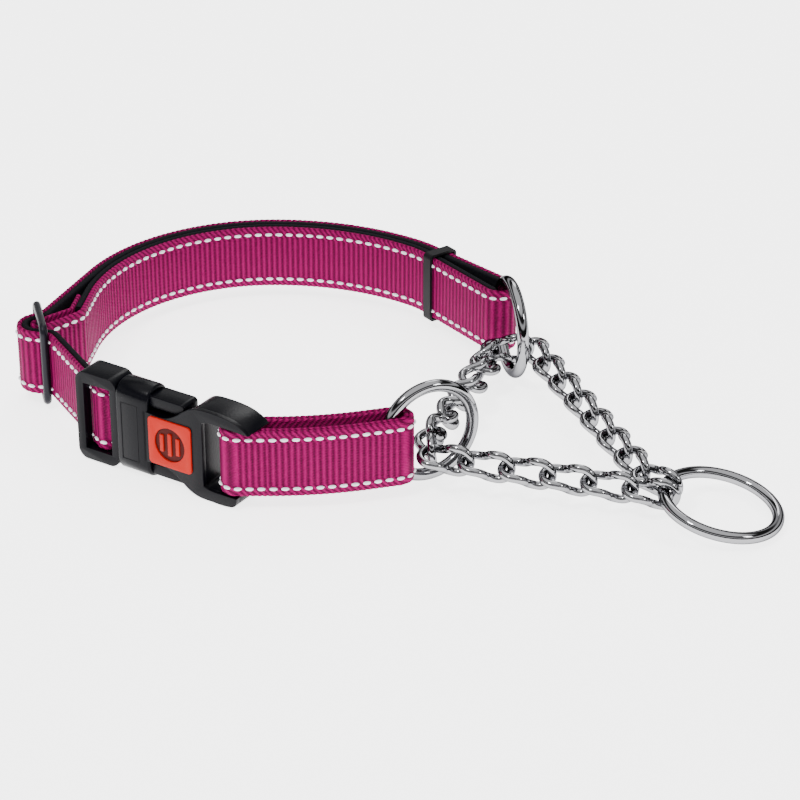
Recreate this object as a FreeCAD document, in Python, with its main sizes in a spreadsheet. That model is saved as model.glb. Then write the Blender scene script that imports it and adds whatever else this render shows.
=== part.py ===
"""Martingale collar: a webbing collar that stands on its edge, closed by a side release buckle with a
sliding lock, and finished by two rings, a twisted curb chain and a leash ring.  Millimetres, +Z up."""

import FreeCAD
import Part
import math
import os

from FreeCAD import Placement, Rotation, Vector

doc = FreeCAD.newDocument("martingale_collar")
sheet = doc.addObject("Spreadsheet::Sheet", "Sheet")

# Driving dimensions.  Every size that can be set by itself is written once, here.
SIZES = {
    # webbing and its padding
    "strap_width": 25.0,
    "strap_lift": 5.0,
    "webbing_thick": 1.8,
    "lining_thick": 2.4,
    "layer_gap": 0.3,
    "bar_gap": 0.3,
    "neck_arc": 67.0,
    "neck_arc_right": 86.8,
    "neck_arc_bend": 31.8,
    "guide_radius": 6.4,
    "slider_flap": 34.0,
    "plug_flap": 13.0,
    # strap slider and keeper
    "slider_wire": 1.5,
    "slider_pitch": 11.2,
    "slider_corner": 2.4,
    "slider_edge_gap": 0.9,
    "keeper_thick": 1.0,
    "keeper_band": 4.2,
    "keeper_gap": 0.5,
    # rings
    "ring_radius": 17.0,
    "ring_wire": 2.2,
    "ring_lift": 1.2,
    "leash_radius": 20.0,
    "leash_wire": 2.1,
    # chain
    "link_length": 20.6,
    "link_wire": 1.5,
    "link_bend": 4.6,
    "link_twist": 80.0,
    "link_play": 0.3,
    "turn_play": 0.55,
    # buckle
    "buckle_width": 35.0,
    "buckle_thick": 12.4,
    "buckle_wall": 1.7,
    "buckle_edge": 2.2,
    "plug_base": 18.0,
    "plug_rail": 3.4,
    "plug_bar": 1.9,
    "mouth_length": 13.5,
    "waist_length": 20.0,
    "waist_width": 19.6,
    "yoke_length": 4.0,
    "yoke_arm": 15.0,
    "socket_bar": 2.2,
    "prong_thick": 4.2,
    "prong_gap": 0.35,
    "prong_lobe": 4.6,
    "lock_side": 18.2,
    "lock_thick": 3.2,
    "lock_travel": 3.0,
    "lock_dial": 6.4,
    # short strap
    "short_strap_tip": 10.0,
    "short_strap_bow": 126.0,
}

for row, (alias, value) in enumerate(SIZES.items(), start=1):
    sheet.set(f"A{row}", alias)
    sheet.set(f"B{row}", str(value))
    sheet.setAlias(f"B{row}", alias)
doc.recompute()


def size(alias):
    """The value of a named cell."""
    return float(sheet.get(alias))


def unit(degrees):
    """The plan direction at an angle from +X."""
    return Vector(math.cos(math.radians(degrees)), math.sin(math.radians(degrees)), 0)


def left_of(direction):
    """The plan direction a quarter turn to the left."""
    return Vector(-direction.y, direction.x, 0)


WIDTH = size("strap_width")
LIFT = size("strap_lift")
WEB = size("webbing_thick")
PAD = size("lining_thick")
GAP = size("layer_gap")
MID = LIFT + WIDTH / 2

# Places that the collar is laid out from, in plan: the middle of the neck opening's big arc, the
# slider's middle bar, the buckle's mouth, the two strap rings and the line of the slider.
NECK = Vector(-49.0, 21.3, 0)
SLIDER = Vector(-130.9, 4.0, 0)
SLIDER_LINE = unit(103.0)
GUIDE = Vector(-123.6, 17.5, 0)
BUCKLE = Vector(-84.2, -55.0, 0)
BUCKLE_TURN = -33.0
FAR_FOLD = Vector(37.0, 36.0, 0)
FAR_TURN = 103.5
NEAR_RING = Vector(10.1, -60.5, 0)
NEAR_TURN = 27.5
NEAR_LEAN = 0.0


# ---------------------------------------------------------------------------------------------------
# Ribbons: a path of tangent lines and arcs round a row of circles, thickened and padded up in Z
# ---------------------------------------------------------------------------------------------------


def tangent_line(first, second):
    """The straight run between two circles (centre, radius); a radius is positive where the path
    turns left round the circle, negative where it turns right and zero at an end point."""
    (centre_a, radius_a), (centre_b, radius_b) = first, second
    between = centre_b - centre_a
    swing = math.degrees(math.asin(max(-1.0, min(1.0, (radius_a - radius_b) / between.Length))))
    heading = math.degrees(math.atan2(between.y, between.x)) + swing
    right = left_of(unit(heading)) * -1
    return centre_a + right * radius_a, centre_b + right * radius_b, heading


def belt(circles):
    """The path round the circles, as a list of ("line", start, end) and
    ("arc", centre, radius, from heading, to heading)."""
    runs = [tangent_line(a, b) for a, b in zip(circles, circles[1:])]
    path = []
    for number, (start, end, heading) in enumerate(runs):
        if number:
            centre, radius = circles[number]
            before = runs[number - 1][2]
            turn = (heading - before) % 360 if radius > 0 else -((before - heading) % 360)
            path.append(("arc", centre, radius, before, before + turn))
        if (end - start).Length > 1e-4:
            path.append(("line", start, end))
    return path


def offset_points(piece, shift):
    """One run of the path moved to its left by a distance: its start, its middle and its end."""
    if piece[0] == "line":
        _, start, end = piece
        side = left_of((end - start).normalize()) * shift
        return [start + side, None, end + side]
    _, centre, radius, before, after = piece
    headings = (before, (before + after) / 2, after)
    return [centre + left_of(unit(heading)) * (shift - radius) for heading in headings]


def offset_edges(path, shift, closed=False):
    """The whole path moved to its left by a distance, each run starting just where the last ended."""
    runs = [offset_points(piece, shift) for piece in path]
    for before, run in zip(runs, runs[1:]):
        run[0] = before[2]
    if closed:
        runs[-1][2] = runs[0][0]
    curves = []
    for start, middle, end in runs:
        curves.append(Part.LineSegment(start, end) if middle is None else Part.Arc(start, middle, end))
    return curves


def outline(path, low, high):
    """The closed outline of the band between two left-hand offsets of a path."""
    near, far = offset_edges(path, low), offset_edges(path, high)
    first = offset_points(path[0], low)[0], offset_points(path[0], high)[0]
    last = offset_points(path[-1], low)[2], offset_points(path[-1], high)[2]
    return near + [Part.LineSegment(*last)] + far + [Part.LineSegment(*first)]


def plane_of(body, role):
    """One of a body's own origin planes."""
    return next(feature for feature in body.Origin.OriginFeatures if feature.Role == role)


def ribbon(name, path, low, high, height="Sheet.strap_width", lift="Sheet.strap_lift"):
    """A band that stands on its edge: the outline of a path as a sketch, padded up in Z."""
    body = doc.addObject("PartDesign::Body", name)
    sketch = body.newObject("Sketcher::SketchObject", name + "_plan")
    sketch.AttachmentSupport = [(plane_of(body, "XY_Plane"), "")]
    sketch.MapMode = "FlatFace"
    sketch.addGeometry([curve for curve in outline(path, low, high)], False)
    pad = body.newObject("PartDesign::Pad", name + "_pad")
    pad.Profile = sketch
    pad.setExpression("Length", height)
    body.setExpression("Placement.Base.z", lift)
    return body


def trimmed(path, skip_start, skip_end):
    """The path without a length of its first and of its last straight run."""
    _, start, end = path[0]
    first = ("line", start + (end - start).normalize() * skip_start, end)
    path = [first] + path[1:]
    _, start, end = path[-1]
    return path[:-1] + [("line", start, end - (end - start).normalize() * skip_end)]


def cut_clear(name, label, body, tools):
    """A body with the room for its neighbours taken out."""
    joined = tools[0]
    if len(tools) > 1:
        joined = doc.addObject("Part::MultiFuse", name + "_room")
        joined.Shapes = tools
    result = doc.addObject("Part::Cut", name)
    result.Base = body
    result.Tool = joined
    result.Label = label
    return result


def ring_placement(centre, turn, lean):
    """A ring's place: its plane stands upright along a plan direction, leaning about that line."""
    along = unit(turn)
    upright = Rotation(along, left_of(along), Vector(0, 0, 1), "XYZ")
    return Placement(centre, upright.multiply(Rotation(Vector(1, 0, 0), 90 + lean)))


def ring(name, radius, wire, placement, extra="0"):
    """A welded round ring, or the room that it needs with extra clearance."""
    torus = doc.addObject("Part::Torus", name)
    torus.setExpression("Radius1", radius)
    torus.setExpression("Radius2", f"{wire} + {extra}")
    torus.Placement = placement
    return torus


# The two strap rings stand on the floor in the folds at the ends of the straps.
ring_height = size("ring_radius") + size("ring_wire") + size("ring_lift")
far_along = unit(FAR_TURN)
far_centre = FAR_FOLD - far_along * size("ring_radius") + Vector(0, 0, ring_height)
far_place = ring_placement(far_centre, FAR_TURN, 0)
near_centre = NEAR_RING + Vector(0, 0, ring_height)
near_place = ring_placement(near_centre, NEAR_TURN, NEAR_LEAN)
far_ring = ring("far_ring", "Sheet.ring_radius", "Sheet.ring_wire", far_place)
near_ring = ring("near_ring", "Sheet.ring_radius", "Sheet.ring_wire", near_place)
far_room = ring("far_room", "Sheet.ring_radius", "Sheet.ring_wire", far_place, "0.4")
near_room = ring("near_room", "Sheet.ring_radius", "Sheet.ring_wire", near_place, "0.4")


# ---------------------------------------------------------------------------------------------------
# Long strap: webbing outside, padded lining on its inner side, round the neck twice
# ---------------------------------------------------------------------------------------------------

# The seam between webbing and lining is the path.  Travelling along it the lining is on the left.
double = 2 * PAD + GAP
bar = size("slider_wire") + size("bar_gap")
slider_far = SLIDER + SLIDER_LINE * size("slider_pitch")
slider_near = SLIDER - SLIDER_LINE * size("slider_pitch")
over_bar = bar + WEB + 0.8 + PAD
under_bar = bar + WEB

along_buckle = unit(BUCKLE_TURN)
inward = left_of(along_buckle)
mouth_back = size("mouth_length") + size("plug_base")
plug_bar_x = -mouth_back + size("plug_rail") + 4.2 + size("plug_bar")
plug_bar_at = BUCKLE + along_buckle * plug_bar_x
plug_turn = size("plug_bar") + size("bar_gap")

right_arc = NECK + Vector(0, size("neck_arc") - size("neck_arc_right"), 0)
bend_from = unit(52.0)
bend_arc = right_arc + bend_from * (size("neck_arc_right") - size("neck_arc_bend"))
fold_turn = size("ring_wire") + size("bar_gap") + PAD

inner_circles = [
    (GUIDE, size("guide_radius")),
    (NECK, -size("neck_arc")),
    (right_arc, -size("neck_arc_right")),
    (bend_arc, -size("neck_arc_bend")),
]
outer_circles = [
    (bend_arc, size("neck_arc_bend") + double),
    (right_arc, size("neck_arc_right") + double),
    (NECK, size("neck_arc") + double),
]

flap_side = PAD + 0.1
guide_flap = size("guide_radius") - flap_side
flap_run = tangent_line((GUIDE, size("guide_radius")), (NECK, -size("neck_arc")))
flap_way = unit(flap_run[2])
flap_start = flap_run[0] + left_of(flap_way) * flap_side + flap_way * (size("slider_flap") - 24.0)

plug_run = tangent_line((slider_near, -under_bar), (plug_bar_at, plug_turn))
plug_way = unit(plug_run[2])
flap_end = plug_run[1] + left_of(plug_way) * (PAD + 0.15) - plug_way * size("plug_flap")

webbing_path = belt(
    [(flap_start, 0.0), (GUIDE, -guide_flap), (SLIDER, bar)]
    + inner_circles
    + [(FAR_FOLD, fold_turn)]
    + outer_circles
    + [(slider_far, -under_bar), (SLIDER, over_bar), (slider_near, -under_bar)]
    + [(plug_bar_at, plug_turn), (flap_end, 0.0)]
)
lining_start = GUIDE - unit(70) * 3.0
lining_path = belt(
    inner_circles
    + [(FAR_FOLD, fold_turn)]
    + outer_circles
    + [(slider_far, -under_bar), (SLIDER, over_bar), (slider_near, -under_bar)]
    + [(plug_bar_at, plug_turn)]
)

# The strap is one ribbon.  The run from the slider to the buckle is a node of its own, because it
# bends when the plug is pulled out of its socket.
split = len(webbing_path) - 3
run_line = webbing_path[split]
run_way = (run_line[2] - run_line[1]).normalize()
main_end = ("line", run_line[1], run_line[1] + run_way * 3.0)
run_start = ("line", run_line[1] + run_way * 3.0, run_line[2])
long_webbing = ribbon("long_webbing_band", webbing_path[:split] + [main_end], -WEB, 0)
buckle_webbing = ribbon("buckle_run_band", [run_start] + webbing_path[split + 1 :], -WEB, 0)
lining_main = lining_path[:-1] + [main_end]
long_lining = ribbon("long_lining_band", lining_main, 0, PAD)
run_back = size("plug_bar") + size("bar_gap") + 2.5
lining_run = [("line", run_start[1], run_line[2] - run_way * run_back)]
buckle_lining = ribbon("buckle_run_lining_band", lining_run, 0, PAD)
FINISHED = []


def finish(label, obj):
    """Give a sub-part its node name and list it for writing."""
    obj.Label = label
    FINISHED.append(obj)
    return obj


finish("long_strap_webbing", cut_clear("long_webbing_cut", "long_strap_webbing", long_webbing, [far_room]))
finish("long_strap_lining", cut_clear("long_lining_cut", "long_strap_lining", long_lining, [far_room]))
finish("buckle_run_webbing", buckle_webbing)
finish("buckle_run_lining", buckle_lining)
finish("far_ring", far_ring)
finish("near_ring", near_ring)


# ---------------------------------------------------------------------------------------------------
# Slider: a bent and welded wire frame with a middle bar
# ---------------------------------------------------------------------------------------------------


def swept(wire, radius):
    """A round bar along a wire of tangent lines and arcs."""
    edge = wire.Edges[0]
    start = edge.valueAt(edge.FirstParameter)
    tangent = edge.tangentAt(edge.FirstParameter)
    circle = Part.Wire(Part.Circle(start, tangent, radius).toShape())
    return wire.makePipeShell([circle], True, False)


def slider_frame():
    """The outer loop of the slider with its middle bar, in the slider's own frame: X along the strap."""
    reach = size("slider_pitch")
    corner = size("slider_corner")
    half = WIDTH / 2 + size("slider_edge_gap") + size("slider_wire")
    corners = [(-1, -1), (1, -1), (1, 1), (-1, 1)]
    edges = []
    middle = math.sqrt(0.5) * corner
    for number, (side, level) in enumerate(corners):
        centre = Vector(side * (reach - corner), 0, level * (half - corner))
        across, up = Vector(side, 0, 0), Vector(0, 0, level)
        first, last = (up, across) if side * level < 0 else (across, up)
        turn = Part.Arc(centre + first * corner, centre + (first + last) * middle, centre + last * corner)
        edges.append((centre + first * corner, centre + last * corner, turn))
    loop = []
    for number, (start, end, turn) in enumerate(edges):
        loop.append(turn.toShape())
        following = edges[(number + 1) % 4][0]
        loop.append(Part.LineSegment(end, following).toShape())
    frame = swept(Part.Wire(Part.__sortEdges__(loop)), size("slider_wire"))
    post = Part.makeCylinder(size("slider_wire"), 2 * half, Vector(0, 0, -half))
    return frame.fuse(post).removeSplitter()


slider = doc.addObject("Part::Feature", "slider")
slider.Shape = slider_frame()
turn_slider = Rotation(SLIDER_LINE, left_of(SLIDER_LINE), Vector(0, 0, 1), "XYZ")
slider.Placement = Placement(SLIDER + Vector(0, 0, MID), turn_slider)
finish("strap_slider", slider)

# ---------------------------------------------------------------------------------------------------
# Keeper: a narrow elastic band round the two runs of the strap
# ---------------------------------------------------------------------------------------------------

outer_run = tangent_line((FAR_FOLD, fold_turn), (bend_arc, size("neck_arc_bend") + double))
inner_run = tangent_line((bend_arc, -size("neck_arc_bend")), (FAR_FOLD, fold_turn))
keeper_way = unit(inner_run[2])
keeper_side = left_of(keeper_way)
keeper_at = inner_run[0] + keeper_way * 4.0
outer_there = (outer_run[1] - keeper_at).dot(keeper_side)
keeper_low = -WEB - size("keeper_gap")
keeper_high = outer_there + WEB + size("keeper_gap") + 1.2
keeper_deep = keeper_high - keeper_low


def keeper_box(name, grow):
    """The keeper's outer block, or the hole through it, in its own frame: X along the strap."""
    block = doc.addObject("Part::Box", name)
    block.Length = size("keeper_band") + (2.0 if grow == 0 else 0)
    block.Width = keeper_deep + 2 * grow
    block.Height = WIDTH + 2 * size("keeper_gap") + 2 * grow
    block.Placement.Base = Vector(-block.Length / 2, keeper_low - grow, -block.Height / 2)
    return block


def rounded_box(block, direction, radius):
    """A block with its four edges along one direction rounded."""
    doc.recompute()
    fillet = doc.addObject("Part::Fillet", block.Name + "_rounded")
    fillet.Base = block
    chosen = []
    for number, edge in enumerate(block.Shape.Edges, start=1):
        if abs(edge.tangentAt(edge.FirstParameter).dot(direction)) > 0.99:
            chosen.append((number, radius, radius))
    fillet.Edges = chosen
    return fillet


keeper_outer = rounded_box(keeper_box("keeper_outer", size("keeper_thick")), Vector(1, 0, 0), 1.8)
keeper_hole = rounded_box(keeper_box("keeper_hole", 0), Vector(1, 0, 0), 0.5)
keeper = doc.addObject("Part::Cut", "keeper")
keeper.Base = keeper_outer
keeper.Tool = keeper_hole
keeper_turn = Rotation(keeper_way, keeper_side, Vector(0, 0, 1), "XYZ")
keeper.Placement = Placement(keeper_at + Vector(0, 0, MID), keeper_turn)
finish("keeper_loop", keeper)


# ---------------------------------------------------------------------------------------------------
# Buckle, in its own frame: X from the plug to the socket, Y inwards, Z up, origin at the mouth step
# ---------------------------------------------------------------------------------------------------

buckle_place = Placement(
    BUCKLE + Vector(0, 0, MID), Rotation(along_buckle, inward, Vector(0, 0, 1), "XYZ")
)


def block(name, length, width, height, x, y="0", z="0"):
    """A box centred in Y and Z on (y, z), starting at x; every size is an expression."""
    made = doc.addObject("Part::Box", name)
    made.setExpression("Length", length)
    made.setExpression("Width", width)
    made.setExpression("Height", height)
    made.setExpression("Placement.Base.x", x)
    made.setExpression("Placement.Base.y", f"{y} - ({width}) / 2")
    made.setExpression("Placement.Base.z", f"{z} - ({height}) / 2")
    return made


def post(name, radius, height, x, y="0"):
    """An upright round bar centred in Z."""
    made = doc.addObject("Part::Cylinder", name)
    made.setExpression("Radius", radius)
    made.setExpression("Height", height)
    made.setExpression("Placement.Base.x", x)
    made.setExpression("Placement.Base.y", y)
    made.setExpression("Placement.Base.z", f"-({height}) / 2")
    return made


def fused(name, shapes):
    """Several shapes joined."""
    made = doc.addObject("Part::MultiFuse", name)
    made.Shapes = shapes
    return made


def without(name, base, tools):
    """A shape with other shapes taken out of it."""
    made = doc.addObject("Part::Cut", name)
    made.Base = base
    made.Tool = tools[0] if len(tools) == 1 else fused(name + "_tools", tools)
    return made


EDGE = size("buckle_edge")
ACROSS = Vector(0, 1, 0)
ALONG = Vector(1, 0, 0)
UPRIGHT = Vector(0, 0, 1)

# Plug: a frame for the strap with a bar across it, a guide tongue and two springy prongs.
plug_outer = rounded_box(
    block("plug_outer", "Sheet.plug_base", "Sheet.buckle_thick - 1.6", "Sheet.buckle_width - 0.6",
          "-Sheet.mouth_length - Sheet.plug_base"),
    ACROSS, 4.0,
)
plug_window = block("plug_window", "Sheet.plug_base - Sheet.plug_rail - 3", "Sheet.buckle_thick + 2",
                    "Sheet.strap_width + 0.8", "-Sheet.mouth_length - Sheet.plug_base + Sheet.plug_rail")
plug_relief = block("plug_relief", "Sheet.plug_rail + 2", "Sheet.buckle_thick", "Sheet.strap_width + 0.8",
                    "-Sheet.mouth_length - Sheet.plug_base - 1", "Sheet.buckle_thick / 2 - 1.4")
plug_frame = without("plug_frame", plug_outer, [plug_window, plug_relief])
plug_post = post("plug_post", "Sheet.plug_bar", "Sheet.buckle_width - 4",
                 "-Sheet.mouth_length - Sheet.plug_base + Sheet.plug_rail + 4.2 + Sheet.plug_bar")
tongue_gap = "(2 * Sheet.buckle_wall + 2 * Sheet.prong_gap)"
plug_tongue = rounded_box(
    block("plug_tongue", "Sheet.mouth_length + Sheet.waist_length - 6",
          f"Sheet.buckle_thick - {tongue_gap} - 3.6", "Sheet.waist_width - 8",
          "-Sheet.mouth_length - 0.5", "0.9"),
    ALONG, 1.0,
)
plug = fused("plug", [plug_frame, plug_post, plug_tongue])
plug.Placement = buckle_place
finish("buckle_plug", plug)


def prong(name, side):
    """A springy arm from the plug with a lobe that snaps into the socket's side window."""
    lobe_mid = "(Sheet.buckle_width - Sheet.prong_lobe) / 2 - Sheet.buckle_wall - 0.25"
    arm_mid = "Sheet.buckle_width / 2 - Sheet.buckle_wall - Sheet.prong_gap - Sheet.prong_thick / 2"
    deep = "Sheet.buckle_thick - 2 * Sheet.buckle_wall - 2 * Sheet.prong_gap"
    lobe = rounded_box(
        block(name + "_lobe", "Sheet.waist_length - 2 * Sheet.prong_gap - 4.5", deep, "Sheet.prong_lobe",
              "Sheet.prong_gap", "0", f"{side} * ({lobe_mid})"),
        ACROSS, 1.6,
    )
    arm = block(name + "_arm", "Sheet.mouth_length + 4", deep, "Sheet.prong_thick",
                "-Sheet.mouth_length + 0.2", "0", f"{side} * ({arm_mid})")
    made = fused(name, [arm, lobe])
    made.Placement = buckle_place
    return made


finish("upper_prong", prong("upper_prong_solid", "1"))
finish("lower_prong", prong("lower_prong_solid", "-1"))

# Socket: the mouth band, the waist that carries the lock, and the yoke that holds the short strap.
mouth = rounded_box(
    block("mouth", "Sheet.mouth_length", "Sheet.buckle_thick", "Sheet.buckle_width", "-Sheet.mouth_length"),
    ALONG, EDGE,
)
waist = rounded_box(
    block("waist", "Sheet.waist_length + 1", "Sheet.buckle_thick - 0.8", "Sheet.waist_width", "-0.5"),
    ALONG, 1.2,
)
yoke_reach = "Sheet.yoke_length + Sheet.yoke_arm"
yoke = rounded_box(
    block("yoke", yoke_reach, "Sheet.buckle_thick", "Sheet.buckle_width", "Sheet.waist_length"),
    ACROSS, 4.5,
)
mouth_room = block("mouth_room", "Sheet.mouth_length + 2",
                   "Sheet.buckle_thick - 2 * Sheet.buckle_wall", "Sheet.buckle_width - 2 * Sheet.buckle_wall",
                   "-Sheet.mouth_length - 1")
tongue_room = block("tongue_room", "Sheet.waist_length - 4",
                    "Sheet.buckle_thick - 2 * Sheet.buckle_wall - 3.2", "Sheet.waist_width - 7",
                    "-1", "0.9")
yoke_room = block("yoke_room", yoke_reach, "Sheet.buckle_thick + 2", "Sheet.strap_width + 1",
                  "Sheet.waist_length + Sheet.yoke_length")
lock_room = block("lock_room", "Sheet.lock_side + Sheet.lock_travel + 0.4", "Sheet.lock_thick",
                  "Sheet.lock_side + 0.4", "0.9", "-Sheet.buckle_thick / 2 + 0.9")
waist_full = fused("waist_full", [mouth, waist, yoke])
socket_bar_x = "Sheet.waist_length + Sheet.yoke_length + 4.5 + 2 * Sheet.webbing_thick + Sheet.socket_bar"
socket_post = post("socket_post", "Sheet.socket_bar", "Sheet.buckle_width - 4", socket_bar_x)
hollow = without("socket_hollow", waist_full, [mouth_room, tongue_room, yoke_room, lock_room])
socket = fused("socket", [hollow, socket_post])
socket.Placement = buckle_place
finish("buckle_socket", socket)

# Lock: a square slide with a round grip, which keeps the prongs from being squeezed by chance.
lock_plate = rounded_box(
    block("lock_plate", "Sheet.lock_side", "Sheet.lock_thick - 0.5", "Sheet.lock_side", "1.1",
          "-Sheet.buckle_thick / 2 + 0.7"),
    ACROSS, 1.5,
)
lock_centre = 1.1 + size("lock_side") / 2
dial_face = -size("buckle_thick") / 2 - 0.8
dial = doc.addObject("Part::Cylinder", "lock_dial")
dial.setExpression("Radius", "Sheet.lock_dial")
dial.Height = 1.4
dial.Placement = Placement(Vector(lock_centre, dial_face, 0), Rotation(Vector(1, 0, 0), -90))
grips = []
for step in (-1, 0, 1):
    grip = doc.addObject("Part::Box", f"lock_grip_{step + 2}")
    grip.Length = 1.5
    grip.Width = 1.6
    grip.Height = 8.6 if step == 0 else 6.6
    grip.Placement.Base = Vector(lock_centre + 3.4 * step - 0.75, dial_face + 0.1, -grip.Height.Value / 2)
    grips.append(grip)
lock_cut = without("lock_cut", lock_plate, [dial])
lock = fused("lock", [lock_cut] + grips)
lock.Placement = buckle_place
finish("lock_slide", lock)


# ---------------------------------------------------------------------------------------------------
# Short strap: two plies of webbing in a closed loop round the socket's bar and the near ring
# ---------------------------------------------------------------------------------------------------

socket_reach = size("waist_length") + size("yoke_length") + 4.5 + 2 * WEB + size("socket_bar")
socket_bar_at = BUCKLE + along_buckle * socket_reach
near_along = unit(NEAR_TURN)
near_hidden = NEAR_RING - near_along * size("ring_radius")
fold_at = near_hidden + near_along * (size("short_strap_tip") - size("ring_wire") - 2 * WEB)
loop_turn = size("socket_bar") + size("bar_gap")
def closed_belt(circles):
    """The closed path round a row of circles, starting and ending on its first straight run."""
    path = belt(circles + circles[:2])
    return path[1:]


def closed_ribbon(name, circles, low, high):
    """A closed loop of webbing: the band between two offsets of a closed path."""
    body = doc.addObject("PartDesign::Body", name)
    sketch = body.newObject("Sketcher::SketchObject", name + "_plan")
    sketch.AttachmentSupport = [(plane_of(body, "XY_Plane"), "")]
    sketch.MapMode = "FlatFace"
    path = closed_belt(circles)
    for shift in (low, high):
        sketch.addGeometry(offset_edges(path, shift, True), False)
    pad = body.newObject("PartDesign::Pad", name + "_pad")
    pad.Profile = sketch
    pad.setExpression("Length", "Sheet.strap_width")
    body.setExpression("Placement.Base.z", "Sheet.strap_lift")
    return body


# The strap bows outwards a little: each of its two runs follows an arc about one far point.
half_span = (fold_at - socket_bar_at).Length / 2
bow_centre = (fold_at + socket_bar_at) * 0.5
bow_centre = bow_centre + left_of((fold_at - socket_bar_at).normalize()) * size("short_strap_bow")
bow_radius = (bow_centre - socket_bar_at).Length
short_circles = [
    (socket_bar_at, loop_turn),
    (bow_centre, bow_radius + loop_turn - 0.4),
    (fold_at, loop_turn),
    (bow_centre, -(bow_radius - loop_turn - 0.4)),
]
short_backing = closed_ribbon("short_backing_band", short_circles, -WEB, 0)
short_facing = closed_ribbon("short_facing_band", short_circles, -2 * WEB - 0.05, -WEB - 0.05)
finish("short_strap_backing", cut_clear("short_backing_cut", "short_strap_backing", short_backing, [near_room]))
finish("short_strap_facing", cut_clear("short_facing_cut", "short_strap_facing", short_facing, [near_room]))


# ---------------------------------------------------------------------------------------------------
# Chain: twisted curb links, each a closed round wire of two end bends and two S-shaped sides
# ---------------------------------------------------------------------------------------------------

pitch = size("link_length") - 4 * size("link_wire") - size("link_play")
half_way = size("link_length") / 2 - size("link_wire")


def arc_solid(start, middle, end, radius):
    """A round wire along one arc."""
    arc = Part.Arc(start, middle, end)
    edge = arc.toShape()
    wire = Part.Wire(edge)
    circle = Part.Wire(Part.Circle(start, edge.tangentAt(edge.FirstParameter), radius).toShape())
    return wire.makePipeShell([circle], True, False)


def link_shape():
    """One link along X: the two end bends lie in planes turned from each other by the twist."""
    bend = size("link_bend")
    straight = half_way - bend
    lean = math.radians(size("link_twist") / 2)
    wide, high = bend * math.cos(lean), bend * math.sin(lean)
    swing = 2 * math.atan2(high, straight)
    radius = straight / math.sin(swing)
    quarter = Vector(radius * math.sin(swing / 2), 0, radius * (1 - math.cos(swing / 2)))
    solids = []
    for end in (1, -1):
        tip = Vector(end * half_way, 0, 0)
        side = Vector(0, wide, end * high)
        base = Vector(end * straight, 0, 0)
        solids.append(arc_solid(base + side, tip, base - side, size("link_wire")))
        for hand in (1, -1):
            start = base + side * hand
            centre = Vector(0, hand * wide, 0)
            rise = end * hand
            middle = start + Vector(-end * quarter.x, 0, -rise * quarter.z)
            solids.append(arc_solid(start, middle, centre, size("link_wire")))
    whole = solids[0].multiFuse(solids[1:]).removeSplitter()
    return whole.Solids[0]


LINK = link_shape()


def link(label, start, way, roll):
    """One link from its first contact point along a direction, rolled about its length."""
    made = doc.addObject("Part::Feature", label)
    made.Shape = LINK
    way = Vector(way).normalize()
    level = Vector(0, 0, 1).cross(way).normalize()
    upright = way.cross(level)
    turn = Rotation(way, level, upright, "XYZ").multiply(Rotation(Vector(1, 0, 0), roll))
    made.Placement = Placement(start + way * (pitch / 2), turn)
    return finish(label, made)


CONNECT_LINKS = 6
FAR_LINKS = 8
NEAR_LINKS = 6
ROLL = 50.0
CONNECT_ROLL = 125.0
CONNECT_STEP = -14.0

# Where two links meet, one end bend lies about level and the other about upright.  The upright end
# slides round the level end's bend when the chain turns in plan.
tip_gap = size("link_wire") + size("link_play") / 2
bend_reach = size("link_bend") - tip_gap - size("turn_play")
tip_reach = half_way - tip_gap
side_reach = half_way - size("link_bend")


def towards(start, end):
    """The direction from one point to another."""
    return (end - start).normalize()


# The connecting run: its first link is held in the near ring, the others run straight to the far one.
first_way = unit(92.0)
near_hook = near_centre + Vector(0.9, -4.5, -6.6)
first_centre = near_hook + first_way * tip_reach
far_aim = far_centre + Vector(-5.6, -2.3, -9.0)
connect_way = towards(first_centre, far_aim)
for turn in range(4):
    connect_start = first_centre + first_way * side_reach + connect_way * bend_reach
    connect_way = towards(connect_start, far_aim)
connect_end = connect_start + connect_way * (pitch * (CONNECT_LINKS - 1))
through_way = unit(10.0)
through_centre = connect_end + through_way * side_reach + connect_way * bend_reach
through_end = through_centre + through_way * tip_reach

# The leash ring leans from the two chains' ends down to the floor.
leash_side = 167.0
leash_spread = 11.0
grip_height = 10.0
leash_drop = grip_height - size("leash_wire") - 0.1
leash_lean = math.degrees(math.asin(leash_drop / (2 * size("leash_radius"))))
leash_line = unit(leash_side)
leash_turn = Rotation(left_of(leash_line), -leash_lean)
leash_height = (grip_height + size("leash_wire") + 0.1) / 2
tip_radius = size("leash_radius") - size("leash_wire") - size("link_wire") - 0.9
far_grip = leash_turn.multVec(unit(leash_side - leash_spread) * tip_radius)
near_grip = leash_turn.multVec(unit(leash_side + leash_spread) * tip_radius)


def apex(first, reach_first, second, reach_second):
    """The plan point on the right at given distances from two others."""
    between = second - first
    along = (reach_first**2 - reach_second**2 + between.Length**2) / (2 * between.Length)
    aside = math.sqrt(reach_first**2 - along**2)
    return first + between.normalize() * along + left_of(between) * aside


def flat(point):
    """A point's place in plan."""
    return Vector(point.x, point.y, 0)


def branch_reach(count, start, tip_height):
    """The plan length of a branch of links from its start to the bar of its last end bend."""
    length = pitch * (count - 1) + tip_reach + half_way
    return math.sqrt(length**2 - (start.z - tip_height) ** 2)


# The last link of the far branch turns towards the ring.
last_way = unit(-38.0)
last_offset = far_grip - last_way * (half_way + side_reach)

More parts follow.
